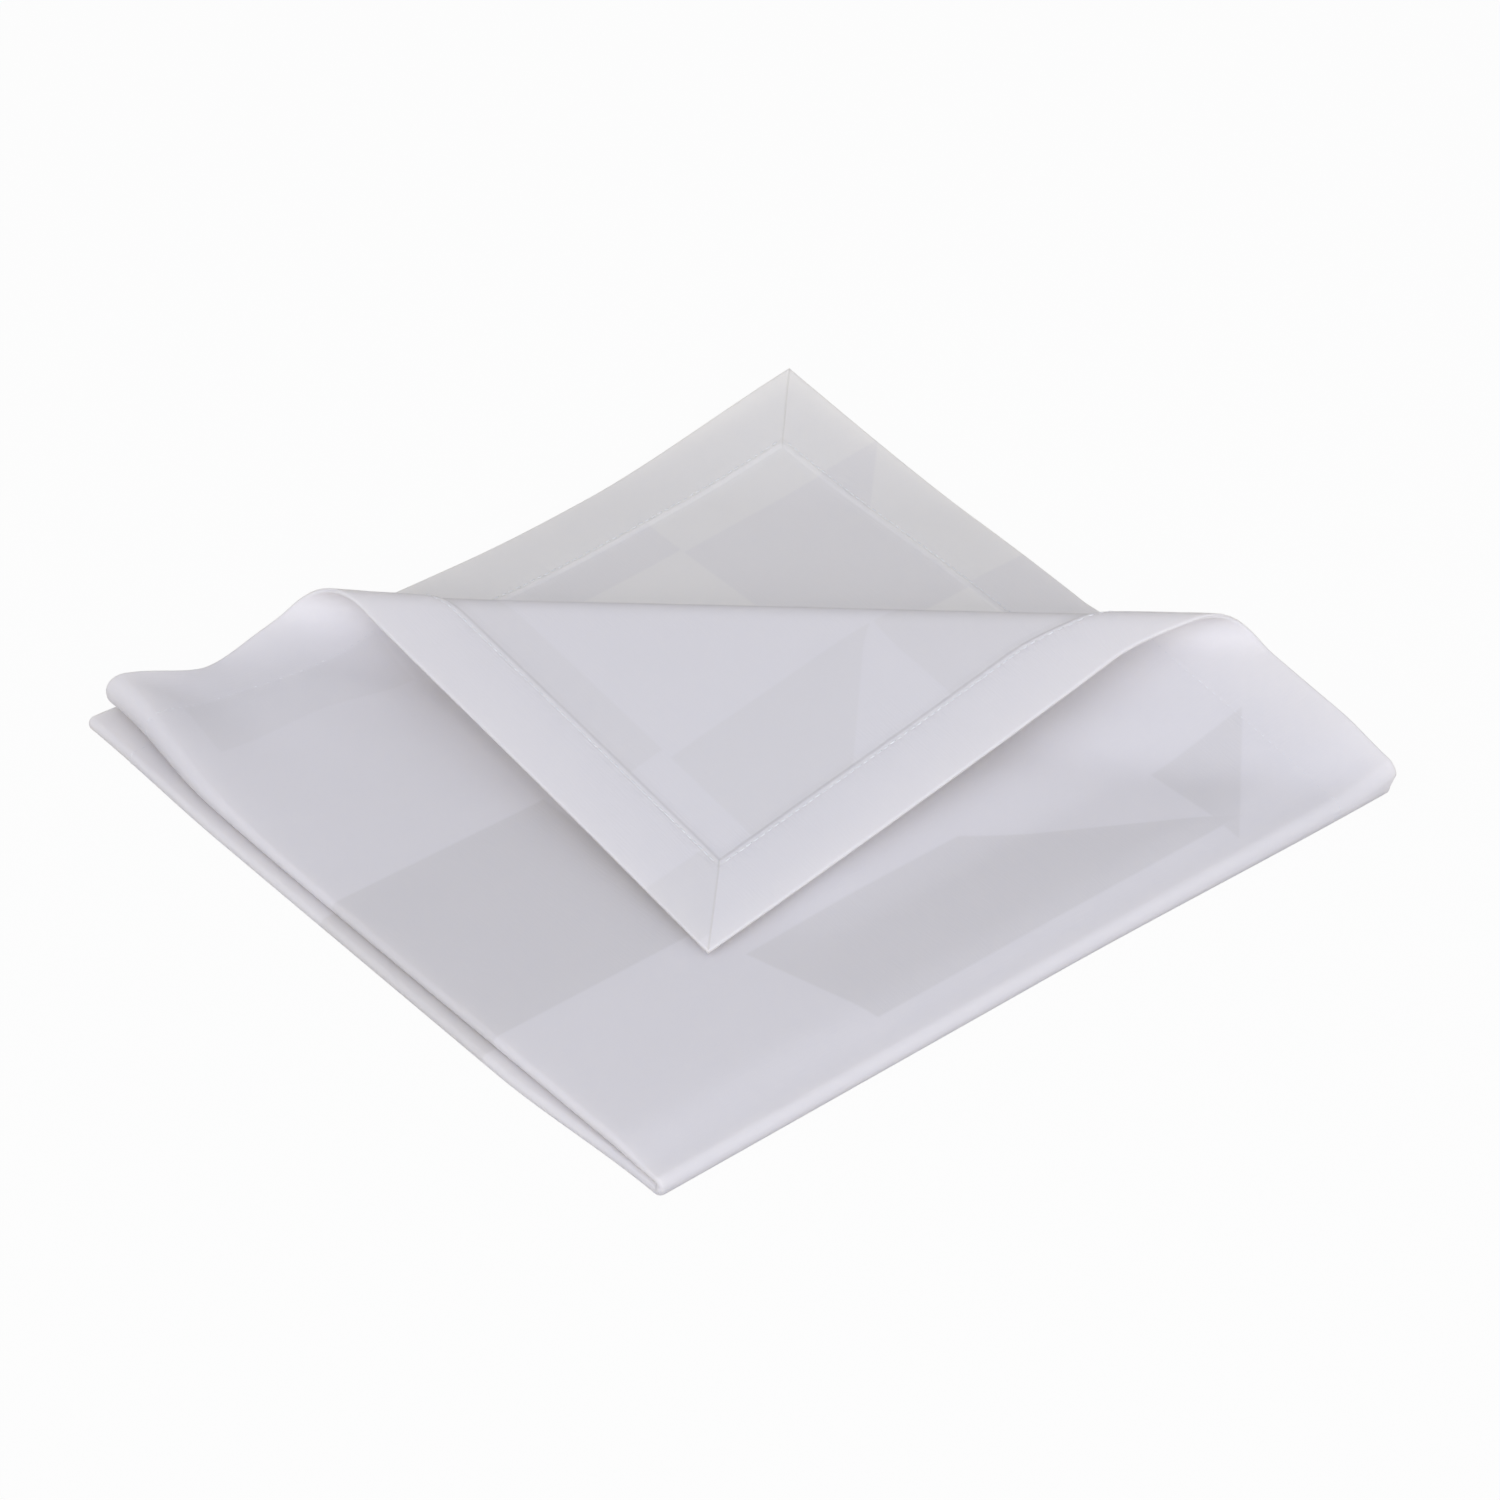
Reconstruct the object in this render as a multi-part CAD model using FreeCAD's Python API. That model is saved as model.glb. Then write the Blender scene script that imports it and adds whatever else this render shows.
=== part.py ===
import FreeCAD, Part
import math
import os

# Cloth napkin, folded in quarters, with the loose corner of its top ply rolled back.
#
# The napkin is one square of cloth with a hem turned twice along all four sides and
# mitred at the corners. It is folded once to a half and again to a quarter, so four
# plies lie on each other: ply 1 at the bottom, ply 4 on top. The free corner of ply 4
# is rolled forward over the stack and rests on it as a pointed flap.
#
# A point of the open cloth is named by u and v, its distances from the middle. The
# first fold lies on v = 0, the second on u = 0. Ply 1 has u > 0 and v > 0, ply 2 has
# u < 0 and v > 0, ply 3 has u < 0 and v < 0, ply 4 has u > 0 and v < 0.
# In the folded napkin the first fold runs along X at the front and the second along Y
# at the left. A depth is measured from the right side of the cloth to its wrong side.
# Lengths are in millimetres.

# The cloth
side = 500.0                 # open napkin, edge to edge
cloth = 0.5                  # one thickness of damask
hem_build = 0.9              # added where the edge is turned in twice
hem_width = 22.0             # turned edge, seen on the wrong side
edge_round = 0.6             # how far the turned edge swells past its own line

# How the plies lie
ply_air = 0.6                # air between plies that meet face to face
left_rise = 5.6              # the top pair stands this much higher at its left end
right_rise = 3.6             # and the stack this much higher at its right end
fold_zone_u = 5.0            # half width of cloth taken up by the second fold
fold_zone_v = 8.0            # half width of cloth taken up by the first fold
step_out = 3.0               # the bottom pair shows this much at the back left
left_tuck = 2.5              # the top pair is set in this much there
right_spread = 2.4           # the first fold bellies out this much at its right end

# Free edges of the folded napkin
back_set = 5.0               # from a true quarter square, at the second fold
back_dip = 5.0               # drawn in further between that fold and the back corner
back_bow = 10.0              # and out again at the corner
right_set = 2.0              # the same three at the right
right_dip = 5.0
right_bow = 8.0
ply_shift = 1.4              # how much the free edges of the lower plies are out of line
corner_lift = 8.7            # the back corner of ply 3 stands up this much
corner_reach = 62.0          # length of the lifted corner along the diagonal

# The rolled corner, in its section across the diagonal; pairs are (right, left)
roll_start = 8.0             # from the diagonal to where the cloth leaves the stack
ramp_ease = (8.0, 10.0)      # cloth used to start climbing
ramp_angle = (30.0, 18.0)    # degrees
turn_start = (30.0, 30.0)    # distance from the diagonal where it starts to turn over
turn_length = (22.0, 18.0)   # cloth used by the turn
flap_landing = 0.8           # the tip of the flap lies this far above ply 4
roll_pull = (0.0, 0.09)      # share by which the cloth draws in along the roll

# Surfaces
fold_spans = 6               # spline spans round a fold
edge_spans = 5               # along a free edge of plies 1 to 3
climb_spans = 3              # up the ramp of the roll
turn_spans = 6               # and over its turn
roll_parts = 4               # faces side by side along the roll
fold_parts = 3               # and along the second fold of the top pair

half = side / 2
hem = cloth + hem_build
inner = half - hem_width
tip = half / math.sqrt(2)    # from the diagonal to the corner of ply 4
roll_end = max(turn_start[0] + turn_length[0], turn_start[1] + turn_length[1])
ALONG = FreeCAD.Vector(1, 1, 0).normalize()
ACROSS = FreeCAD.Vector(-1, 1, 0).normalize()
UP = FreeCAD.Vector(0, 0, 1)


def ease(start, end, value):
    """Zero before start, one after end, and a smooth step between."""
    t = min(1.0, max(0.0, (value - start) / (end - start)))
    return t * t * (3 - 2 * t)


def ply_heights(x_share, y_share, depth):
    """Heights of plies 1 to 4, at a depth, over a place in the folded quarter."""
    second = 2 * hem + ply_air
    third = second + ply_air
    fourth = third + 2 * hem + ply_air + left_rise * y_share + right_rise * x_share
    return depth, second - depth, third + depth, fourth - depth


def fold_line_x(y_share, radius, on_top):
    """Centre line of the second fold; its radius is that of the right side."""
    if on_top:
        return radius + left_tuck * y_share
    return radius - step_out * y_share


def free_edge_x(y_share, u):
    """Where plies 1 to 3 end at the right."""
    bow = min(1.0, max(0.0, (y_share - 0.44) / 0.56))
    edge = half - right_set - right_dip * ease(0.06, 0.30, y_share)
    edge += right_bow * (1 - (1 - bow) ** 2)
    return edge - ply_shift * bow * (2 if u > 0 else 1)


def free_edge_y(x_share, turned):
    """Where plies 1 to 3 end at the back; turned grows from ply 1 to ply 2 or 3."""
    edge = half - back_set - back_dip * ease(0.0, 0.28, x_share)
    edge += back_bow * ease(0.46, 1.0, x_share)
    return edge - ply_shift * (2 - turned) * ease(0.74, 1.0, x_share)


def stack(u, v, depth):
    """Point of the folded napkin before its corner is rolled."""
    x_share = max(0.0, abs(u) - fold_zone_u) / (half - fold_zone_u)
    y_share = max(0.0, abs(v) - fold_zone_v) / (half - fold_zone_v)
    front1, front2, front3, front4 = ply_heights(x_share, 0.0, 0.0)
    left1, left2, left3, left4 = ply_heights(0.0, y_share, 0.0)
    z1, z2, z3, z4 = ply_heights(x_share, y_share, depth)
    angle = math.pi / 2 * (1 - max(-1.0, min(1.0, u / fold_zone_u)))
    turned = (1 - math.cos(angle)) / 2
    on_top = v < 0

    side_radius = (left4 - left3) / 2 if on_top else (left2 - left1) / 2
    radius = side_radius - depth
    centre_x = fold_line_x(y_share, side_radius, on_top)
    if on_top and u > 0:
        edge_x = half - right_set
    else:
        edge_x = free_edge_x(y_share, u)
    x = centre_x + x_share * (edge_x - centre_x) - radius * math.sin(angle)

    top = z4 - turned * (z4 - z3)
    bottom = z1 + turned * (z2 - z1)
    bend = math.pi / 2 * (1 - max(-1.0, min(1.0, v / fold_zone_v)))
    centre_y = (front4 - front1) / 2 - right_spread * x_share
    if on_top and u > 0:
        edge_y = half - back_set
    else:
        edge_y = free_edge_y(x_share, turned)
    y = centre_y + y_share * (edge_y - centre_y) - (top - bottom) / 2 * math.sin(bend)
    z = (top + bottom) / 2 - (top - bottom) / 2 * math.cos(bend)
    if u < 0:
        past = ((x + y - side) / math.sqrt(2) + corner_reach) / corner_reach
        z += corner_lift * max(0.0, past) ** 1.7 * (1.0 if on_top else 0.55)
    return FreeCAD.Vector(x, y, z)


def top_ply(u, v, depth):
    """Point of ply 4 before the roll, on one flat plane."""
    corner = stack(fold_zone_u, -fold_zone_v, depth)
    along_front = stack(half, -fold_zone_v, depth) - corner
    along_left = stack(fold_zone_u, -half, depth) - corner
    x_share = (u - fold_zone_u) / (half - fold_zone_u)
    y_share = (-v - fold_zone_v) / (half - fold_zone_v)
    return corner + along_front * x_share + along_left * y_share


def heading(s, end, descent):
    """Direction of ply 4 in the section at one end of the roll, in radians."""
    ramp = math.radians(ramp_angle[end])
    rise = ramp * ease(roll_start, roll_start + ramp_ease[end], s)
    over = math.pi + descent - ramp
    return rise + over * ease(turn_start[end], turn_start[end] + turn_length[end], s)


def walk(s, end, descent):
    """Distance and height gained along the section between the roll's start and s."""
    steps = 200
    step = (s - roll_start) / steps
    angles = [heading(roll_start + (i + 0.5) * step, end, descent) for i in range(steps)]
    along = step * sum(math.cos(angle) for angle in angles)
    up = step * sum(math.sin(angle) for angle in angles)
    return along, up


def flap_descent(end):
    """Slope at which the flap comes down from one end of the roll to its tip."""
    middle = top_ply(half / 2, -half / 2, 0.0)
    landing = top_ply(half / 4, -half / 4, 0.0).z + flap_landing
    descent = 0.1
    for i in range(4):
        height = middle.z + walk(roll_end, end, descent)[1] - landing
        descent = math.asin(height / (tip - roll_end))
    return descent


def rail(s, end, depth, swell):
    """Point of ply 4's side edge on the roll; end is 0 at the right and 1 at the left.

    The edge is moved by depth to the wrong side and by swell outwards.
    """
    reach = roll_start * math.sqrt(2)
    near = (half, -reach) if end == 0 else (reach, -half)
    corner = top_ply(*near, 0.0)
    middle = (top_ply(half, -reach, 0.0) + top_ply(reach, -half, 0.0)) / 2
    descent = flap_descent(end)
    along, up = walk(s, end, descent)
    angle = heading(s, end, descent)
    narrowing = (tip - s) / (tip - roll_start) * (1 - roll_pull[end] * ease(roll_start, 25.0, s))
    point = middle + (corner - middle) * narrowing + ALONG * along + UP * up
    point += (ALONG * math.sin(angle) - UP * math.cos(angle)) * depth
    sideways = ACROSS * (-1 if end == 0 else 1)
    forward = ALONG * math.cos(angle) + UP * math.sin(angle)
    return point + (forward + sideways) * (swell / math.sqrt(2))


def roll_point(s, reach, end, depth, swell=0.0):
    """Point of the roll on a line that lies reach from the middle of the open cloth."""
    share = (half - reach) * math.sqrt(2) / (2 * (tip - s))
    this_side = rail(s, end, depth, swell)
    other_side = rail(s, 1 - end, depth, swell)
    return this_side + (other_side - this_side) * share


def flap_tip(reach, depth, swell=0.0):
    """Corner of the flap, or of the square inside its hem."""
    base = (rail(roll_end, 0, depth, 0.0) + rail(roll_end, 1, depth, 0.0)) / 2
    descent = (flap_descent(0) + flap_descent(1)) / 2
    forward = UP * -math.sin(descent) - ALONG * math.cos(descent)
    length = tip - roll_end - (half - reach) * math.sqrt(2)
    return base + forward * (length + swell * math.sqrt(2))


def even_knots(start, end, spans):
    """Evenly spaced knots."""
    return [start + (end - start) * i / spans for i in range(spans + 1)]


def pole_places(knots):
    """Where the poles of a cubic run sit; a run of one span is straight and has two."""
    if len(knots) == 2:
        return knots
    full = knots[:1] * 3 + knots + knots[-1:] * 3
    return [sum(full[i + 1:i + 4]) / 3 for i in range(len(knots) + 2)]


def spline_face(net, row_knots, knots):
    """Face over a net of poles; its degrees follow from the numbers of poles."""
    degrees = [len(net) - len(row_knots) + 1, len(net[0]) - len(knots) + 1]
    mults = [[degree + 1] + [1] * (len(values) - 2) + [degree + 1]
             for degree, values in zip(degrees, (row_knots, knots))]
    surface = Part.BSplineSurface()
    surface.buildFromPolesMultsKnots(
        [list(row) for row in net], mults[0], mults[1], row_knots, knots, False, False, degrees[0], degrees[1])
    return surface.toShape()


def strip(first, second, knots):
    """Ruled face between two curves with the same knots."""
    return spline_face([first, second], [0.0, 1.0], knots)


def polygon(points):
    """Flat face on its corner points."""
    return Part.Face(Part.makePolygon(points + points[:1]))


def draw_in(w, zone, reach):
    """A distance from the middle, with the flat part past the fold drawn in to reach."""
    if abs(w) <= zone:
        return w
    return math.copysign(zone + (abs(w) - zone) * (reach - zone) / (half - zone), w)


def spread(knots, zone, reach):
    """Pole places along the cloth, drawn in to reach."""
    return [draw_in(w, zone, reach) for w in pole_places(knots)]


def ply_face(u_knots, v_knots, reach, depth, flat=False):
    """Face of a ply, or of a fold between plies, out to reach from the middle."""
    us = spread(u_knots, fold_zone_u, reach)
    vs = spread(v_knots, fold_zone_v, reach)
    net = [[stack(u, v, depth) for v in vs] for u in us]
    face = spline_face(net, u_knots, v_knots)
    if flat:
        return Part.Face(Part.Wire(Part.__sortEdges__(face.Edges)))
    return face


def hem_faces(rails, knots):
    """Step, hem band and the two halves of the turned edge, between their rails."""
    return [strip(rails[i], rails[i + 1], knots) for i in range(4)]


def edge_rails(point_at):
    """Rails of one stretch of hem, from the step's foot round to the right side.

    point_at gives the points at a reach, a depth and a swell.
    """
    return [point_at(inner, cloth, 0.0), point_at(inner, hem, 0.0),
            point_at(half, hem, 0.0), point_at(half, hem / 2, edge_round),
            point_at(half, 0.0, 0.0)]


def stack_hem(sign, along_u, knots):
    """Hem along one stretch of a free edge of plies 1 to 3, or round a fold."""
    zone = fold_zone_u if along_u else fold_zone_v

    def point_at(reach, depth, swell):
        points = []
        for w in spread(knots, zone, reach):
            u, v = (w, sign * reach) if along_u else (sign * reach, w)
            push_x = swell if abs(u) == half else 0.0
            push_y = swell if abs(v) == half else 0.0
            points.append(stack(u, v, depth) + FreeCAD.Vector(push_x, push_y, 0))
        return points

    return hem_faces(edge_rails(point_at), knots)


def fold_runs():
    """The top pair's v, from the back edge to the first fold, in a few short runs."""
    cuts = even_knots(-half, -fold_zone_v, fold_parts)
    return list(zip(cuts, cuts[1:]))


def folded_faces():
    """Plies 1 to 3, the folds, and their hems."""
    u_flat = even_knots(fold_zone_u, half, edge_spans)
    u_turned = even_knots(-half, -fold_zone_u, edge_spans)
    u_fold = even_knots(-fold_zone_u, fold_zone_u, fold_spans)
    v_flat = even_knots(fold_zone_v, half, edge_spans)
    v_turned = [even_knots(start, end, 2) for start, end in fold_runs()]
    v_fold = even_knots(-fold_zone_v, fold_zone_v, fold_spans)
    v_straight = [[fold_zone_v, half]] + [list(run) for run in fold_runs()]
    u_straight = [[-half, -fold_zone_u], [fold_zone_u, half]]
    cells = [(u_turned, v_flat), (u_fold, v_fold)] + [(u_turned, run) for run in v_turned]
    cells += [(run, v_fold) for run in u_straight] + [(u_fold, run) for run in v_straight]
    faces = [ply_face(u_flat, v_flat, half, 0.0, True),
             ply_face(u_flat, v_flat, inner, cloth, True)]
    for u_knots, v_knots in cells:
        faces.append(ply_face(u_knots, v_knots, half, 0.0))
        faces.append(ply_face(u_knots, v_knots, inner, cloth))
    for knots in (u_flat, u_fold, u_turned):
        faces += stack_hem(1, True, knots)
    for knots in (u_fold, u_turned):
        faces += stack_hem(-1, True, knots)
    for knots in (v_flat, v_fold):
        faces += stack_hem(1, False, knots)
    for knots in [v_flat, v_fold] + v_turned:
        faces += stack_hem(-1, False, knots)
    return faces


def top_faces():
    """Ply 4: its flat base, the roll and the flap, with their hems."""
    over = min(turn_start)
    runs = [even_knots(roll_start, over, climb_spans), even_knots(over, roll_end, turn_spans)]
    faces = []
    for reach, depth in ((half, 0.0), (inner, cloth)):
        def across(s):
            right, left = [roll_point(s, reach, end, depth) for end in (0, 1)]
            return [right + (left - right) * (i / roll_parts) for i in range(roll_parts + 1)]

        cuts = [start for start, end in fold_runs()] + [-fold_zone_v]
        fold_line = [stack(fold_zone_u, draw_in(v, fold_zone_v, reach), depth) for v in cuts]
        right_end = stack(reach, -fold_zone_v, depth)
        faces.append(polygon(fold_line + [right_end] + across(roll_start)))
        faces.append(polygon(across(roll_end) + [flap_tip(reach, depth)]))
        for knots in runs:
            lines = list(zip(*[across(s) for s in pole_places(knots)]))
            faces += [strip(lines[i], lines[i + 1], knots) for i in range(roll_parts)]

    for end in (0, 1):
        def along_base(reach, depth, swell):
            if end == 0:
                start = stack(reach, -fold_zone_v, depth) + FreeCAD.Vector(swell, 0, 0)
            else:
                start = stack(fold_zone_u, -reach, depth) + FreeCAD.Vector(0, swell, 0)
            return [start, roll_point(roll_start, reach, end, depth, swell)]

        def along_flap(reach, depth, swell):
            return [roll_point(roll_end, reach, end, depth, swell),
                    flap_tip(reach, depth, swell)]

        faces += hem_faces(edge_rails(along_base), [0.0, 1.0])
        faces += hem_faces(edge_rails(along_flap), [0.0, 1.0])
        for knots in runs:
            def along_roll(reach, depth, swell):
                return [roll_point(s, reach, end, depth, swell) for s in pole_places(knots)]

            faces += hem_faces(edge_rails(along_roll), knots)
    return faces


def napkin():
    """The whole folded sheet, its lowest middle point at the origin."""
    shell = Part.Compound(folded_faces() + top_faces())
    shell.sewShape()
    solid = Part.Solid(shell.Shells[0] if shell.Shells else shell)
    if solid.Volume < 0:
        solid.reverse()
    box = solid.optimalBoundingBox(True, False)
    middle = FreeCAD.Vector((box.XMin + box.XMax) / 2, (box.YMin + box.YMax) / 2, box.ZMin)
    solid.translate(-middle)
    return solid


def main():
    os.makedirs("parts", exist_ok=True)
    napkin().exportStep("parts/napkin.step")


main()
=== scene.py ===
# %% [markdown]
# # A damask napkin, folded in quarters, with one corner rolled back
#
# The real object is one square of white table linen. Its edge is turned in twice and
# stitched, and the corners are mitred. It is folded twice, and the loose corner of the
# top ply is rolled towards the viewer. In Blender the cloth could be simulated, but a
# napkin that somebody has folded and pressed is neater than a simulation leaves it. So
# the sheet is a function of two parameters, the distances u and v from the middle of
# the open cloth, and the hem, the stitches and the damask all follow from u and v.

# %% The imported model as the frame
import math
import bpy
import numpy as np
from mathutils import Matrix, Vector


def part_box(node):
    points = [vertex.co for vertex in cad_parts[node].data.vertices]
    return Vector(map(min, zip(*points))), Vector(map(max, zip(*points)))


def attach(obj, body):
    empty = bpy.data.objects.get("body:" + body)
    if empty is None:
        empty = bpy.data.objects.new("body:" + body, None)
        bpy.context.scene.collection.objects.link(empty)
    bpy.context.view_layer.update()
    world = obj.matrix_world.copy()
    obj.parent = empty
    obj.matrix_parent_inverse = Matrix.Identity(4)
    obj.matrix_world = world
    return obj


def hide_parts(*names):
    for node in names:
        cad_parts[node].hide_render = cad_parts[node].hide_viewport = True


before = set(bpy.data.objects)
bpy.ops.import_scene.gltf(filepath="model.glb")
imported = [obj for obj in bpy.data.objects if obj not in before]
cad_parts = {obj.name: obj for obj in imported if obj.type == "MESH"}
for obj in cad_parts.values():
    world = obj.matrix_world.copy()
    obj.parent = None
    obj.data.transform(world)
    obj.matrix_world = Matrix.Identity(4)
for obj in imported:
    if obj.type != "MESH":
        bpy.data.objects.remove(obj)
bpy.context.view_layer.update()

cad_low, cad_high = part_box("napkin")
print("CAD box in mm:", [round(1000 * (h - l), 1) for l, h in zip(cad_low, cad_high)])

# %% [markdown]
# ## Sizes of the cloth
#
# Lengths are millimetres until a mesh is made, because cloth is measured so. The cut is
# 500 mm square. One thickness is half a millimetre, and the hem has two more turns of
# cloth on it, so it stands up as a band 22 mm wide on the wrong side.

# %% Sizes
MM = 0.001
half = 250.0                       # from the middle of the open cloth to its edge
quarter = half / 2                 # from the middle of the folded square to its sides
cloth = 0.5                        # one thickness
hem_build = 0.8                    # added by the hem's two turns
hem_width = 22.0
edge_round = 0.6                   # how far the rim stands out between the two sides
fold_zone_u, fold_zone_v = 5.0, 8.0  # cloth on each side of a fold that bends with it
quarter_middle = (1.36, 1.48)      # middle of the folded square, in the row frame

# %% [markdown]
# ## The camera
#
# The camera comes first, so that each piece can be judged in the photograph's view. A
# 100 mm lens about 1.1 m away gives the mild perspective of a product picture.

# %% Camera
camera_azimuth, camera_elevation = math.radians(-39.91), math.radians(36.8)
camera_distance = 1132.5
camera_target = (4.9, -1.2)        # on the surface, from the quarter's middle

back = Vector((math.sin(camera_azimuth) * math.cos(camera_elevation),
               -math.cos(camera_azimuth) * math.cos(camera_elevation),
               math.sin(camera_elevation)))
right = Vector((math.cos(camera_azimuth), math.sin(camera_azimuth), 0.0))
up = back.cross(right)
target = Vector((camera_target[0] + quarter_middle[0], camera_target[1] + quarter_middle[1], 0.0))
place = (target + back * camera_distance) * MM

camera = bpy.data.objects.new("camera", bpy.data.cameras.new("camera"))
camera.data.lens = 100.0
camera.data.sensor_width = 36.0
camera.data.clip_start = 0.05
camera.matrix_world = Matrix.Translation(place) @ Matrix((right, up, back)).transposed().to_4x4()
bpy.context.scene.collection.objects.link(camera)
bpy.context.scene.camera = camera
print("camera at", [round(c, 3) for c in place])

# %% [markdown]
# ## Steps and humps
#
# Cloth never turns a sharp corner. Every change of height or direction below is either
# a smooth step, which is flat at both ends, or a round hump that fades out.

# %% Steps and humps
def step(start, end, value):
    """3t^2 - 2t^3, where t goes from 0 at start to 1 at end and stays there."""
    t = np.clip((value - start) / (end - start), 0.0, 1.0)
    return t * t * (3.0 - 2.0 * t)


def hump(x, y, x0, y0, width):
    """A bell, e to the minus half of the squared distance over the squared width."""
    return np.exp(-((x - x0) ** 2 + (y - y0) ** 2) / (2.0 * width ** 2))


def blend(a, b, share):
    """a where share is 0 and b where it is 1, and in between along a straight line."""
    return a + (b - a) * share


# %% [markdown]
# ## The section of the rolled corner
#
# Cut across the diagonal, the top ply lies flat, climbs, turns over in a loose curl and
# comes down again as the flap. Cloth doesn't stretch, so the curve is best given by its
# direction at each length of cloth: adding up the cosines and sines of that direction
# gives the curve, and its length is right by itself. The two ends of the roll differ, so
# there is one section for each of 61 places between the right end and the left.

# %% Section of the roll
roll = {                            # (right end, left end)
    "climb_from": (-17.8, 12.0),    # distance past the diagonal, mm of cloth
    "climb_ease": (18.0, 22.6),
    "climb_angle": (21.0, 24.7),    # degrees
    "turn_from": (29.1, 28.1),
    "turn_length": (20.8, 25.5),
    "pull": (0.006, 0.060),         # how far the roll draws in along its own length
}
flap_pull = 0.107
flap_landing = 0.7                  # the tip of the flap above the ply under it
tip = half / math.sqrt(2.0)

slices = np.linspace(0.0, 1.0, 61)[:, None]
lengths = np.arange(-60.0, 180.01, 0.5)    # of cloth, from the diagonal towards the corner
ends = {name: blend(pair[0], pair[1], slices) for name, pair in roll.items()}


def roll_direction(descent):
    """Climb times one step, plus what is left of a half turn and the descent times another."""
    climb = np.radians(ends["climb_angle"])
    rising = step(ends["climb_from"], ends["climb_from"] + ends["climb_ease"], lengths)
    turning = step(ends["turn_from"], ends["turn_from"] + ends["turn_length"], lengths)
    return climb * rising + (math.pi + descent - climb) * turning


def running_sum(values):
    """Trapezium sums of values along the lengths, starting from 0."""
    parts = (values[:, 1:] + values[:, :-1]) / 2.0 * (lengths[1] - lengths[0])
    return np.hstack([np.zeros((len(values), 1)), np.cumsum(parts, axis=1)])


descent = np.full((len(slices), 1), 0.12)
for _ in range(4):                  # until the tip of the flap comes down to its landing
    direction = roll_direction(descent)
    section_out = running_sum(np.cos(direction)) + lengths[0]
    section_up = running_sum(np.sin(direction))
    rest = tip - ends["turn_from"] - ends["turn_length"]
    descent = descent + (section_up[:, [-1]] - flap_landing) / rest
print("crest of the roll, right and left, mm:", section_up.max(axis=1)[[0, -1]].round(1))


def from_section(table, share, distance):
    """Value of a section table, blended twice between its nearest four entries."""
    row = np.clip(share, 0.0, 1.0) * (len(slices) - 1)
    column = (np.clip(distance, lengths[0], lengths[-1]) - lengths[0]) / (lengths[1] - lengths[0])
    r = np.minimum(row.astype(int), len(slices) - 2)
    c = np.minimum(column.astype(int), len(lengths) - 2)
    near = blend(table[r, c], table[r + 1, c], row - r)
    far = blend(table[r, c + 1], table[r + 1, c + 1], row - r)
    return blend(near, far, column - c)


# %% [markdown]
# ## The folded sheet
#
# Ply 1 is at the bottom and ply 4 on top. The first fold lies on v = 0 along the front,
# the second on u = 0 along the left. Near a fold the two plies that it joins are the
# ends of a half circle, so the sheet runs from one to the other round a real bend. The
# pressed stack is not flat: it swells at its left and right ends, its free edges bow,
# and its back corner lifts a little.

# %% The folded sheet
puff_left, puff_right = 7.6, 1.3   # how far the top pair swells at its two ends


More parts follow.
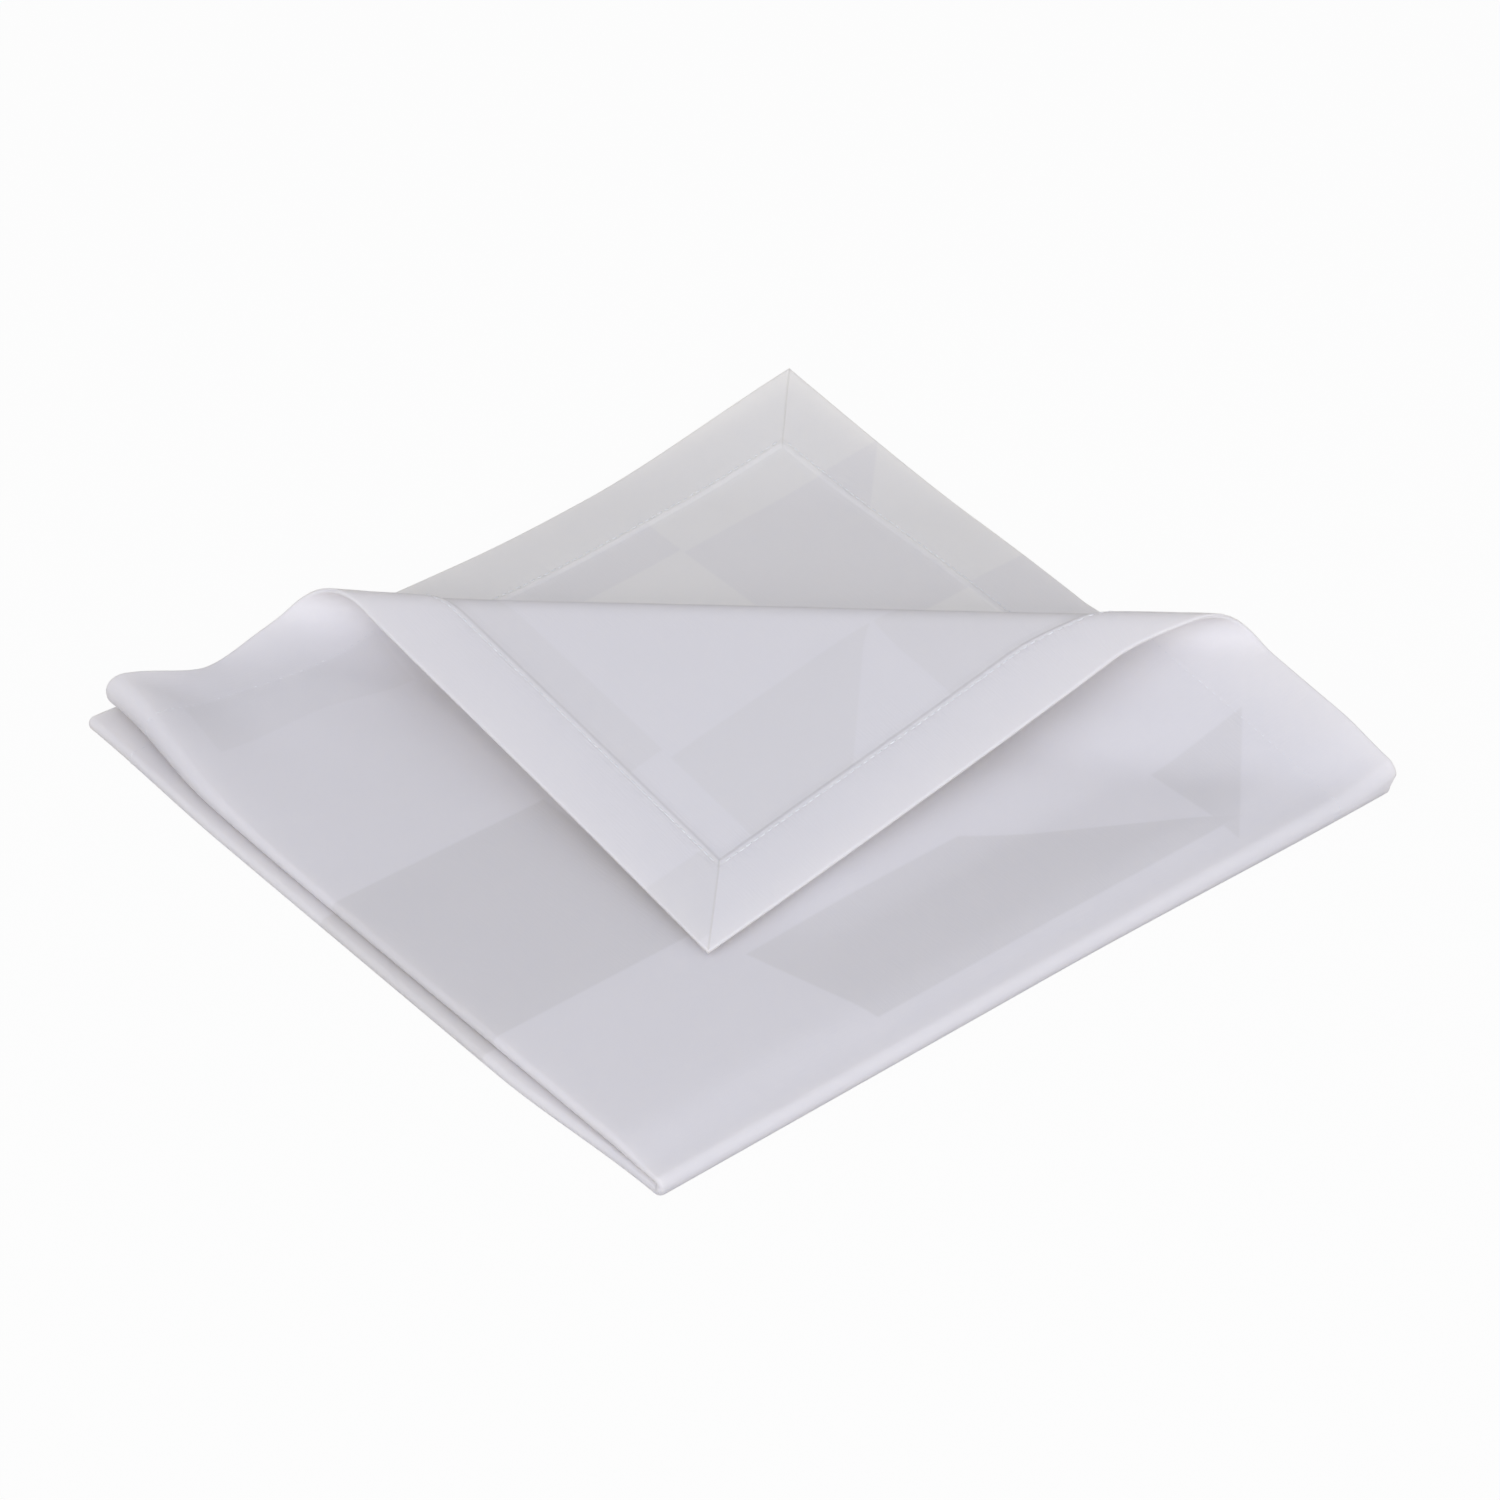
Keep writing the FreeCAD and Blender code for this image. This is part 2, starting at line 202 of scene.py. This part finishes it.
def folded(u, v):
    """Point of the sheet's right side over (u, v), from the quarter's middle, in mm.

    x and y run from the folds to the free edges in step with |u| and |v|; z is that of
    the ply, carried round each fold by the cosine of the bend; the rolled corner then
    takes its place and height from the section across the diagonal.
    """
    on_top, outer = v < 0, u > 0
    share_x = np.clip(np.abs(u) - fold_zone_u, 0, None) / (half - fold_zone_u)
    share_y = np.clip(np.abs(v) - fold_zone_v, 0, None) / (half - fold_zone_v)
    x0, y0 = 2 * quarter * (share_x - 0.5), 2 * quarter * (share_y - 0.5)
    swell_left = hump(x0, y0, -quarter, quarter, 30)
    swell_right = hump(x0, y0, quarter, -quarter, 55)

    # heights of the four plies
    z1 = 0.0 * x0
    z2 = 3.4 + 0.6 * swell_left + 0.5 * swell_right
    z3 = z2 + 0.6 + 0.8 * swell_left
    z4 = z3 + 3.4 + puff_right * swell_right
    z4 = z4 + puff_left * hump(x0, y0, -quarter, quarter, 38.6)
    z4 = z4 - 5.0 * hump(np.abs(u), y0 * 0.35, 23.9, 43.75, 10.5)    # a flute in the hem
    z4 = z4 - 1.6 * (1 - step(0, 0.07, share_y))                     # the front fold is full
    shoulder = step(44, 76, np.abs(v)) * step(66, 110, u) * (1 - step(165, 232, u))
    z4 = z4 + 5.0 * shoulder * (1 - step(-4, 34, (x0 + y0) / math.sqrt(2)))
    z4_front = 5.8 + (0.5 + puff_right) * hump(x0, -quarter, quarter, -quarter, 55)

    # round the second fold
    fold_x = np.where(on_top, -126.0 + 3.5 * step(70, 120, y0),
                      -126.3 - 3.0 * step(-quarter, -65, y0) + 1.2 * step(60, 120, y0))
    radius_x = np.where(on_top, (z4 - z3) / 2, (z2 - z1) / 2)
    along = np.clip((y0 + 15) / 140, 0, 1)
    free_x = 117.5 + 8.5 * (1 - (1 - along) ** 2) + 4.5 * step(-50, -110, y0)
    lower_x = free_x - np.where(outer, 1.5 + 2 * along, 0.6 + along) * along
    edge_x = np.where(on_top, np.where(outer, 124.0, free_x), lower_x)
    bend_x = np.clip(math.pi / 2 * (1 - u / fold_zone_u), 0, math.pi)
    x = fold_x + radius_x * (1 - np.sin(bend_x)) + share_x * (edge_x - fold_x - radius_x)
    turned = (1 - np.cos(bend_x)) / 2
    top = z4 - turned * (z4 - z3)
    bottom = z1 + turned * (z2 - z1)

    # round the first fold
    radius_y, centre_z = (top - bottom) / 2, (top + bottom) / 2
    free_y = 115.0 + 10.0 * step(-10, quarter, x0) + 4.5 * (1 - step(-quarter, -55, x0))
    lower_y = free_y - 0.8 + 2.0 * (1 - step(-quarter, -75, x0)) - 3.0 * step(60, quarter, x0)
    edge_y = np.where(on_top, blend(120.0, free_y, turned), lower_y + 0.7 * turned)
    bend_y = np.clip(math.pi / 2 * (1 - v / fold_zone_v), 0, math.pi)
    centre_y = -125.1 - 2.4 * step(0, quarter, x0) + z4_front / 2
    y = centre_y + share_y * (edge_y - centre_y) - radius_y * np.sin(bend_y)
    z = centre_z - radius_y * np.cos(bend_y)

    # the rolled corner
    out, across = (x + y) / math.sqrt(2), (y - x) / math.sqrt(2)
    share = 0.5 + across / half
    rolled = on_top & outer & (out > lengths[0])
    pull = np.where(across > 0, roll["pull"][1] * step(-2, 14, out),
                    roll["pull"][0] * step(0, 35, out))
    pull = blend(pull, flap_pull,
                 np.where(across > 0, step(36, 54, out), step(34, 62, out)))
    new_out = np.where(rolled, from_section(section_out, share, out), out)
    new_across = np.where(rolled, across * (1 - pull), across)
    z = z + np.where(rolled, from_section(section_up, share, out), 0.0)

    # the lifted back corner of plies 2 and 3
    past = np.clip((out - 115) / 62, 0, None) ** 1.7
    z = z + np.where(outer, 0.0, np.where(on_top, 8.7, 4.8) * past)
    return np.stack([(new_out - new_across) / math.sqrt(2),
                     (new_out + new_across) / math.sqrt(2), z], axis=-1)


def wrong_way(u, v, reach=0.4):
    """Cross product of the differences of four near points, made 1 long.

    It points from the right side of the cloth to the wrong side.
    """
    du = folded(u + reach, v) - folded(u - reach, v)
    dv = folded(u, v + reach) - folded(u, v - reach)
    normal = np.cross(du, dv)
    return normal / np.maximum(np.linalg.norm(normal, axis=-1, keepdims=True), 1e-9)


# %% [markdown]
# ## Thickness and hem
#
# The hem is cloth on cloth, so it is part of the same sheet: inside 22 mm of the edge the
# wrong side steps up by two more thicknesses. The needle pulls that band down along the
# stitch line, and it puckers a little between the stitches.

# %% Thickness
stitch_inset = 20.4                # from the edge to the stitch line, mm
stitch_pitch = 2.6
stitch_pull = 0.22                 # how far the needle draws the hem down
pucker_depth, pucker_pitch = 0.10, 7.3


def from_edge(u, v):
    """Distance to the nearest edge: half less the larger of |u| and |v|."""
    return half - np.maximum(np.abs(u), np.abs(v))


def thickness(u, v):
    """One cloth, plus the hem's two turns on a step, less a groove along the stitches."""
    inset = from_edge(u, v)
    along = np.where(np.abs(u) > np.abs(v), v, u)
    band = step(hem_width + 0.6, hem_width - 0.6, inset)
    pulled = np.exp(-((inset - stitch_inset) / 1.6) ** 2)
    wave = np.sin(along * 2 * math.pi / pucker_pitch + 2 * np.sin(along / 23.0))
    return cloth + band * (hem_build - pulled * (stitch_pull - pucker_depth * wave))


# %% [markdown]
# ## The mesh
#
# Two grids, one for each side of the cloth, share their lines of u and v. The lines are
# close together at the folds, at the hem's step and at the edge, and closer over the
# rolled ply than over the hidden ones. A rounded rim of three more rows joins the two
# grids, so the cloth is one closed skin.

# %% Lines of the grid
def run(fold_zone, wide, narrow, fold_lines):
    """Lines of one parameter: wide spacing below the fold, narrow above it, both in mm."""
    hem_lines = half - np.array([0.0, 0.5, 1.5, 3.5, 16.0, 18.0, 19.2, 20.4, 21.2, 21.7,
                                 22.3, 22.9, 25.0])
    inner = half - 27.0
    before = np.arange(fold_zone, inner, wide)
    after = np.arange(fold_zone, inner, narrow)
    bend = np.linspace(-fold_zone, fold_zone, fold_lines)
    band = half - np.array([6.0, 8.5, 11.0, 13.5])
    return np.unique(np.concatenate([-hem_lines, -band, -before, bend, after, band, hem_lines,
                                     [-inner, inner]]).round(6))


u_lines = run(fold_zone_u, 3.4, 2.1, 15)
v_lines = -run(fold_zone_v, 3.4, 2.1, 19)[::-1]
u_grid, v_grid = np.meshgrid(u_lines, v_lines, indexing="ij")
print("grid", u_grid.shape)


# %% The napkin's mesh
def border_loop(index):
    """Indices once round the border of a grid of indices, without the last repeated."""
    return np.concatenate([index[:, 0], index[-1, 1:], index[-2::-1, -1], index[0, -2:0:-1]])


def cells(index):
    """Four corners of every cell of a grid of indices."""
    return np.stack([index[:-1, :-1], index[1:, :-1], index[1:, 1:], index[:-1, 1:]],
                    axis=-1).reshape(-1, 4)


right_side = folded(u_grid, v_grid)
wrong_side = right_side + wrong_way(u_grid, v_grid) * thickness(u_grid, v_grid)[..., None]

shape = u_grid.shape
count = u_grid.size
right_index = np.arange(count).reshape(shape)
wrong_index = right_index + count
loop = border_loop(right_index)
loop_u, loop_v = u_grid.ravel()[loop], v_grid.ravel()[loop]
outward = right_side.reshape(-1, 3)[loop] - folded(loop_u * 0.998, loop_v * 0.998)
outward /= np.linalg.norm(outward, axis=-1, keepdims=True)

rim_rows = 3
rim_points, rim_shares = [], []
for row in range(1, rim_rows + 1):
    angle = math.pi * row / (rim_rows + 1)
    share = (1 - math.cos(angle)) / 2
    base = blend(right_side.reshape(-1, 3)[loop], wrong_side.reshape(-1, 3)[loop], share)
    rim_points.append(base + outward * edge_round * math.sin(angle))
    rim_shares.append(np.full(len(loop), share))

points = np.concatenate([right_side.reshape(-1, 3), wrong_side.reshape(-1, 3)] + rim_points)
rows = [loop] + [2 * count + i * len(loop) + np.arange(len(loop)) for i in range(rim_rows)]
rows.append(loop + count)
rim_faces = [np.stack([a, np.roll(a, -1), np.roll(b, -1), b], axis=-1)
             for a, b in zip(rows, rows[1:])]
faces = np.concatenate([cells(right_index)[:, ::-1], cells(wrong_index)] + rim_faces)
cloth_u = np.concatenate([u_grid.ravel(), u_grid.ravel()] + [loop_u] * rim_rows)
cloth_v = np.concatenate([v_grid.ravel(), v_grid.ravel()] + [loop_v] * rim_rows)
side = np.concatenate([np.zeros(count), np.ones(count)] + rim_shares)
print("points", len(points), "quads", len(faces))


# %% Into Blender
def to_row_frame(where):
    """Millimetres from the quarter's middle, as metres in the row frame."""
    return (where + np.array([quarter_middle[0], quarter_middle[1], 0.0])) * MM


def make_mesh(name, where, face_list):
    """A mesh object at the origin with these points in mm and faces, shaded smooth."""
    mesh = bpy.data.meshes.new(name)
    mesh.from_pydata(to_row_frame(where).tolist(), [], face_list)
    mesh.polygons.foreach_set("use_smooth", np.ones(len(mesh.polygons), bool))
    mesh.update()
    piece = bpy.data.objects.new(name, mesh)
    bpy.context.scene.collection.objects.link(piece)
    return piece


def add_values(piece, name, values):
    """A number for each point of the mesh, for the material to read."""
    attribute = piece.data.attributes.new(name, "FLOAT", "POINT")
    attribute.data.foreach_set("value", values.astype(np.float32))


napkin = make_mesh("napkin_cloth", points, faces.tolist())
add_values(napkin, "cloth_u", cloth_u)
add_values(napkin, "cloth_v", cloth_v)
add_values(napkin, "cloth_side", side)
corners = np.zeros(len(napkin.data.loops), int)
napkin.data.loops.foreach_get("vertex_index", corners)
flat_map = np.stack([cloth_u, cloth_v], axis=-1)[corners] / (2 * half) + 0.5
flat_layer = napkin.data.uv_layers.new(name="flat cloth")
flat_layer.data.foreach_set("uv", flat_map.astype(np.float32).ravel())

volume = np.einsum("ij,ij->i", points[faces[:, 0]],
                   np.cross(points[faces[:, 1]], points[faces[:, 2]])
                   + np.cross(points[faces[:, 2]], points[faces[:, 3]])).sum() / 6
print("volume in cubic mm, which is above 0 when the faces point outwards:", round(volume))

# %% [markdown]
# ## Hem stitches
#
# The hem is sewn with one line of lockstitch. On each side of the cloth it shows as a row
# of short threads that dip into the cloth at both ends. Each one is a small spindle with
# five sides, set along the line, so a thousand of them stay light. On the right side,
# where the photograph hardly shows them, they are smaller.

# %% Stitches
stitch_size = np.array([0.40 * stitch_pitch, 0.19, 0.15])    # half length, width and height
right_side_size = 0.75
wrong_side_proud, right_side_proud = 0.02, 0.06              # middle over the cloth


def spindle(rings=5, sides=5):
    """Unit spindle along x: radius falls as the square root of 1 - x squared to its tips."""
    x = np.linspace(-0.92, 0.92, rings)
    radius = np.sqrt(1 - x ** 2)
    turn = np.arange(sides) * 2 * math.pi / sides
    body = np.stack([np.repeat(x, sides), (radius[:, None] * np.cos(turn)).ravel(),
                     (radius[:, None] * np.sin(turn)).ravel()], axis=-1)
    index = np.arange(rings * sides).reshape(rings, sides)
    quads = np.stack([index[:-1], np.roll(index, -1, axis=1)[:-1],
                      np.roll(index, -1, axis=1)[1:], index[1:]], axis=-1).reshape(-1, 4)
    return body, quads, index


def stitch_line():
    """u, v and direction of the stitches: even steps on the four sides of a square."""
    reach = half - stitch_inset
    number = int(2 * (reach - 1.0) / stitch_pitch)
    along = (np.arange(number) - (number - 1) / 2) * stitch_pitch
    edge = np.full(number, reach)
    us = np.concatenate([along, edge, along, -edge])
    vs = np.concatenate([-edge, along, edge, along])
    flat = np.zeros(number)
    one = np.ones(number)
    du = np.concatenate([one, flat, one, flat])
    dv = np.concatenate([flat, one, flat, one])
    return us, vs, du, dv


def stitches(name, on_wrong_side):
    """One spindle for each stitch, its axes turned to the sheet's own three directions."""
    us, vs, du, dv = stitch_line()
    normal = wrong_way(us, vs)
    step_ahead = folded(us + du * 0.5, vs + dv * 0.5) - folded(us - du * 0.5, vs - dv * 0.5)
    ahead = step_ahead / np.linalg.norm(step_ahead, axis=-1, keepdims=True)
    sideways = np.cross(normal, ahead)
    sign = 1.0 if on_wrong_side else -1.0
    if on_wrong_side:
        level, size = thickness(us, vs) + wrong_side_proud, stitch_size
    else:
        level, size = 0.0 * us + right_side_proud, stitch_size * right_side_size
    centre = folded(us, vs) + normal * level[:, None]
    body, quads, index = spindle()
    local = body * size
    where = (centre[:, None] + ahead[:, None] * local[None, :, :1]
             + sideways[:, None] * local[None, :, 1:2] * sign
             + normal[:, None] * local[None, :, 2:3] * sign).reshape(-1, 3)
    ends = np.stack([index[0, ::-1], index[-1]])
    shift = (np.arange(len(us)) * len(body))[:, None, None]
    tubes = (quads[None] + shift).reshape(-1, 4)
    caps = (ends[None] + shift).reshape(-1, ends.shape[1])
    piece = make_mesh(name, where, tubes.tolist() + caps.tolist())
    print(name, len(us), "stitches,", len(piece.data.polygons), "faces")
    return piece


stitches_back = stitches("hem_stitches_wrong_side", True)
stitches_front = stitches("hem_stitches_right_side", False)

# %% [markdown]
# ## Shader maths as expressions
#
# A material is a graph of nodes, but its maths reads best as a line of Python. The class
# below wraps a socket, and each operator on it adds one Math node.

# %% Sockets with operators
class Value:
    """An output socket that can be added, multiplied and compared like a number."""

    def __init__(self, nodes, socket):
        self.nodes, self.socket = nodes, socket

    def maths(self, operation, *others):
        """One Math node with this value as its first input."""
        return self.nodes.add("ShaderNodeMath", {"operation": operation}, [self, *others])

    def __add__(self, other):
        return self.maths("ADD", other)

    def __sub__(self, other):
        return self.maths("SUBTRACT", other)

    def __rsub__(self, other):
        return self.nodes.add("ShaderNodeMath", {"operation": "SUBTRACT"}, [other, self])

    def __mul__(self, other):
        return self.maths("MULTIPLY", other)

    def __truediv__(self, other):
        return self.maths("DIVIDE", other)

    def __abs__(self):
        return self.maths("ABSOLUTE")

    def above(self, edge, soft):
        """0 below edge and 1 above it, across a width of soft."""
        return ((self - edge) / soft + 0.5).clamped()

    def clamped(self):
        """The value, or 0 below 0 and 1 above 1."""
        return self.nodes.add("ShaderNodeClamp", {}, [self, 0.0, 1.0])

    def largest(self, other):
        return self.maths("MAXIMUM", other)

    __radd__ = __add__
    __rmul__ = __mul__


class Nodes:
    """The node tree of a material or of the world."""

    def __init__(self, owner):
        owner.use_nodes = True
        self.owner, self.tree = owner, owner.node_tree
        self.tree.nodes.clear()

    def add(self, kind, settings, inputs, output=0):
        """A node of this type; inputs are values or links, in a list or by name."""
        node = self.tree.nodes.new(kind)
        for setting, value in settings.items():
            setattr(node, setting, value)
        pairs = inputs.items() if isinstance(inputs, dict) else enumerate(inputs)
        for key, value in pairs:
            if isinstance(value, Value):
                self.tree.links.new(value.socket, node.inputs[key])
            elif value is not None:
                node.inputs[key].default_value = value
        return Value(self, node.outputs[output]) if node.outputs else None

    def attribute(self, name):
        """A number that the mesh carries at each point."""
        return self.add("ShaderNodeAttribute", {"attribute_name": name}, {}, output="Fac")

    def vector(self, x, y, z):
        """Three numbers as one vector."""
        return self.add("ShaderNodeCombineXYZ", {}, [x, y, z])

    def noise(self, vector, scale, detail):
        """Smooth noise about 0.5, with scale lumps to a unit and detail finer layers."""
        return self.add("ShaderNodeTexNoise", {"noise_dimensions": "3D"},
                        {"Vector": vector, "Scale": scale, "Detail": detail,
                         "Roughness": 0.5}, output="Fac")

    def mix(self, share, a, b):
        """Colour a where share is 0 and b where it is 1."""
        return self.add("ShaderNodeMix", {"data_type": "RGBA"}, {0: share, 6: a, 7: b}, output=2)

    def seen(self):
        """1 for rays from the camera, off a gloss or through glass, and 0 for the rest."""
        path = self.tree.nodes.new("ShaderNodeLightPath")
        return (Value(self, path.outputs["Is Camera Ray"])
                + Value(self, path.outputs["Is Glossy Ray"])
                + Value(self, path.outputs["Is Transmission Ray"])).clamped()

    def finish(self, shader):
        """The material, with this shader as its surface."""
        self.add("ShaderNodeOutputMaterial", {}, [shader])
        return self.owner


def shade(red, green, blue):
    """A colour written as it looks on screen, 0 to 255, as the linear one Blender takes."""
    levels = [c / 255 for c in (red, green, blue)]
    return tuple(c / 12.92 if c <= 0.04045 else ((c + 0.055) / 1.055) ** 2.4
                 for c in levels) + (1.0,)


# %% [markdown]
# ## Damask
#
# Damask has one colour. Its figures are areas where the warp covers the weft, beside
# areas where the weft covers the warp, and they catch the light a little differently.
# Here they are plain squares and half squares on a 67 mm grid, the oldest of damask
# figures. What is light on one side of the cloth is dark on the other. The threads
# themselves are far thinner than a pixel, so the bump holds only their unevenness: long
# soft ribs along the threads that lie on top.

# %% Damask figures
cloth_nodes = Nodes(bpy.data.materials.new("white damask"))
u = cloth_nodes.attribute("cloth_u")
v = cloth_nodes.attribute("cloth_v")
wrong = cloth_nodes.attribute("cloth_side").above(0.5, 0.2)
a, b = abs(u), abs(v)
figure_edge = 0.8                  # width over which one weave gives way to the other, mm
hem_line = half - hem_width


def over(value, edge):
    """0 below the edge and 1 above it."""
    return value.above(edge, figure_edge)


def under(value, edge):
    """1 below the edge and 0 above it."""
    return 1.0 - over(value, edge)


def between(value, low, high):
    """1 from low to high and 0 outside: over low times under high."""
    return over(value, low) * under(value, high)


def any_of(first, *others):
    """The largest of the fields."""
    for other in others:
        first = first.largest(other)
    return first


# what shows on the right side of the top ply, 1 where the weave is dull
right_figures = any_of(
    under(a, 71.0) * between(b, 71.0, 139.5),
    between(a, 14.0, 71.0) * between(b, 208.0, 229.0) * 0.4,
    over(a + b * 0.26, 85.5) * between(b, 17.0, 56.0) * under((a - 150.0) * 0.61 + b, 51.0),
    over(a, 199.0) * under(b, 44.0) * under(a - b, 188.0) * 0.8,
)
# on its wrong side, which the flap turns up
flap_figures = any_of(
    under(a, 186.0) * between(b, 215.5, hem_line),
    between(a, 190.0, hem_line) * under(b, 215.5) * (1.0 - over(a - b, 50.0) * over(b, 139.0)),
    between(a, 222.0, 246.0) * over(b, hem_line) * over(b - a, 0.0),
)
# and on the wrong side of the ply under it, which shows at the back
back_figures = any_of(
    under(a, 173.5) * between(b, 212.0, hem_line),
    between(a, 173.5, hem_line) * between(b, 142.0, 210.5),
    over(a, hem_line) * between(b, 150.0, 210.5) * under(a - b, 40.5),
    over(a, hem_line) * under(b, 143.0),
)
top_quarter = over(u, 0.0)
wrong_figures = back_figures * 0.8 + (flap_figures * 0.5 - back_figures * 0.8) * top_quarter
dull = right_figures + (wrong_figures - right_figures) * wrong
inset = half - a.largest(b)
band = under(inset, hem_width) * wrong

# %% [markdown]
# ## Threads, puckers and the mitre
#
# The bump has three parts. Soft ribs follow the threads on top, which run along v in one
# weave and along u in the other. Small puckers follow the stitch line on both sides. On
# the wrong side the mitre of each corner is a fine groove on the diagonal of the band.

# %% Surface of the cloth
position = cloth_nodes.vector(u, v, wrong * 40.0)
ribs_along_u = cloth_nodes.noise(cloth_nodes.vector(u * 0.16, v * 1.7, wrong * 9.0), 1.0, 2.0)
ribs_along_v = cloth_nodes.noise(cloth_nodes.vector(u * 1.7, v * 0.16, wrong * 9.0), 1.0, 2.0)
ribs = ribs_along_u + (ribs_along_v - ribs_along_u) * dull
cloud = cloth_nodes.noise(position, 0.035, 3.0)

stitch_offset = abs(inset - stitch_inset)
near_stitches = (1.0 - (stitch_offset / 4.5).clamped()) * (wrong * 0.75 + 0.25)
puckers = cloth_nodes.noise(cloth_nodes.vector(u * 0.42, v * 0.42, wrong * 5.0), 1.0, 1.0)
groove = (1.0 - (stitch_offset / 0.7).clamped()) * (wrong * 0.85 + 0.15)
mitre = (1.0 - (abs(a - b) / 0.55).clamped()) * band
height = ribs * 0.10 + puckers * near_stitches * 0.35 - groove * 0.12 - mitre * 0.2 + cloud * 0.6

bump = cloth_nodes.add("ShaderNodeBump", {},
                       {"Strength": 1.0, "Distance": 0.6 * MM, "Height": height})

# %% Damask material
bright_weave, dull_weave = shade(228, 231, 249), shade(217, 220, 237)
wrong_bright, wrong_dull = shade(231, 234, 251), shade(221, 224, 239)
# The lower ply, seen at the back, gets a lighter copy of the wrong side's colours. This is
# painted light that makes up for the shade the rolled corner casts on it.
lower_bright_painted_light, lower_dull_painted_light = shade(241, 244, 255), shade(233, 236, 250)
# Painted shade, for the groove of the mitre and the groove along the stitch line.
seam_painted_shade = shade(210, 211, 216)
# On the wrong side the flap keeps its own colours, and the lower ply takes the lighter copy with
# painted light.
bright_wrong_and_painted_light = cloth_nodes.mix(top_quarter, lower_bright_painted_light, wrong_bright)
dull_wrong_and_painted_light = cloth_nodes.mix(top_quarter, lower_dull_painted_light, wrong_dull)
colour = cloth_nodes.mix(wrong, cloth_nodes.mix(dull, bright_weave, dull_weave),
                         cloth_nodes.mix(dull, bright_wrong_and_painted_light, dull_wrong_and_painted_light))
# Painted shade darkens the colour in the mitre's groove and, a little, in the groove along the
# stitches.
colour = cloth_nodes.mix((mitre * 0.4 + groove * 0.1).clamped(), colour, seam_painted_shade)
roughness = 0.56 + dull * 0.14 + ribs * 0.08
surface = cloth_nodes.add("ShaderNodeBsdfPrincipled", {}, {
    "Base Color": colour, "Roughness": roughness, "Normal": bump,
    "Specular IOR Level": 0.12})
through = cloth_nodes.add("ShaderNodeBsdfTranslucent", {}, {"Color": shade(251, 243, 221)})
damask = cloth_nodes.finish(cloth_nodes.add("ShaderNodeMixShader", {}, [0.40, surface, through]))
napkin.data.materials.append(damask)
print("damask nodes:", len(cloth_nodes.tree.nodes))

# %% Thread material
thread_nodes = Nodes(bpy.data.materials.new("sewing thread"))
twist = thread_nodes.noise(
    thread_nodes.add("ShaderNodeTexCoord", {}, {}, output="Object"), 900.0, 1.0)
thread_bump = thread_nodes.add("ShaderNodeBump", {},
                               {"Strength": 0.4, "Distance": 0.1 * MM, "Height": twist})
thread = thread_nodes.finish(thread_nodes.add("ShaderNodeBsdfPrincipled", {}, {
    "Base Color": thread_nodes.mix(twist, shade(219, 220, 226), shade(230, 231, 236)),
    "Roughness": 0.5, "Normal": thread_bump, "Specular IOR Level": 0.3}))
for piece in (stitches_back, stitches_front):
    piece.data.materials.append(thread)

# %% [markdown]
# ## Riding on the frame
#
# The imported solid stays hidden, for collision, and the cloth takes its place.

# %% Place on the frame
for piece in (napkin, stitches_back, stitches_front):
    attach(piece, "root")
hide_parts("napkin")

# %% [markdown]
# ## Floor and light
#
# The picture is a product picture on white. A pale world gives light from all round, a
# little more of it from the camera's side, and five soft boxes add to it from the front
# and from low down, where they reach into the roll. Floor and world are white for the
# camera, and the floor keeps only a little of the napkin's shadow.

# %% Floor
floor_size = 6.0
floor_mesh = bpy.data.meshes.new("floor")
edge = floor_size / 2
floor_mesh.from_pydata([(-edge, -edge, 0), (edge, -edge, 0), (edge, edge, 0), (-edge, edge, 0)],
                       [], [(0, 1, 2, 3)])
floor = bpy.data.objects.new("floor", floor_mesh)
bpy.context.scene.collection.objects.link(floor)
floor.location.z = -0.0004

floor_nodes = Nodes(bpy.data.materials.new("white floor"))
paper = floor_nodes.add("ShaderNodeBsdfDiffuse", {}, {"Color": shade(186, 187, 190)})
glow = floor_nodes.add("ShaderNodeEmission", {}, {"Color": (1, 1, 1, 1), "Strength": 1.0})
floor_mesh.materials.append(floor_nodes.finish(
    floor_nodes.add("ShaderNodeMixShader", {}, [floor_nodes.seen() * 0.96, paper, glow])))
print("floor", floor_size, "m square")

# %% World and soft boxes
world = bpy.data.worlds.new("studio")
bpy.context.scene.world = world
world_nodes = Nodes(world)
direction = world_nodes.add("ShaderNodeTexCoord", {}, {}, output="Generated")
to_front = world_nodes.add("ShaderNodeVectorMath", {"operation": "DOT_PRODUCT"},
                           [direction, (-0.64, -0.77, 0.0)], output="Value")
ambient = 0.55 + to_front * 0.24
backdrop = world_nodes.add("ShaderNodeBackground", {}, {
    "Color": (1, 1, 1, 1), "Strength": ambient + world_nodes.seen() * (1.0 - ambient)})
world_nodes.add("ShaderNodeOutputWorld", {}, [backdrop])


def soft_box(name, place, power):
    """A round lamp 1.2 m across whose back is turned along its place, to face the napkin."""
    lamp = bpy.data.objects.new(name, bpy.data.lights.new(name, "AREA"))
    lamp.data.shape = "DISK"
    lamp.data.size = 1.2
    lamp.data.energy = power
    lamp.location = place
    lamp.rotation_euler = (-Vector(place)).to_track_quat("-Z", "Y").to_euler()
    bpy.context.scene.collection.objects.link(lamp)


soft_box("soft box left", (-1.42, -0.20, 1.20), 5.5)
soft_box("soft box right", (-0.02, -1.44, 1.20), 4.0)
soft_box("low soft box in front", (-0.98, -1.28, 0.85), 7.5)
soft_box("high soft box in front", (-0.80, -1.00, 1.50), 6.0)
soft_box("soft box at the right end", (0.95, -1.25, 0.60), 1.5)
print("lamps:", len(bpy.data.lights))

bpy.context.scene.view_settings.view_transform = "Standard"
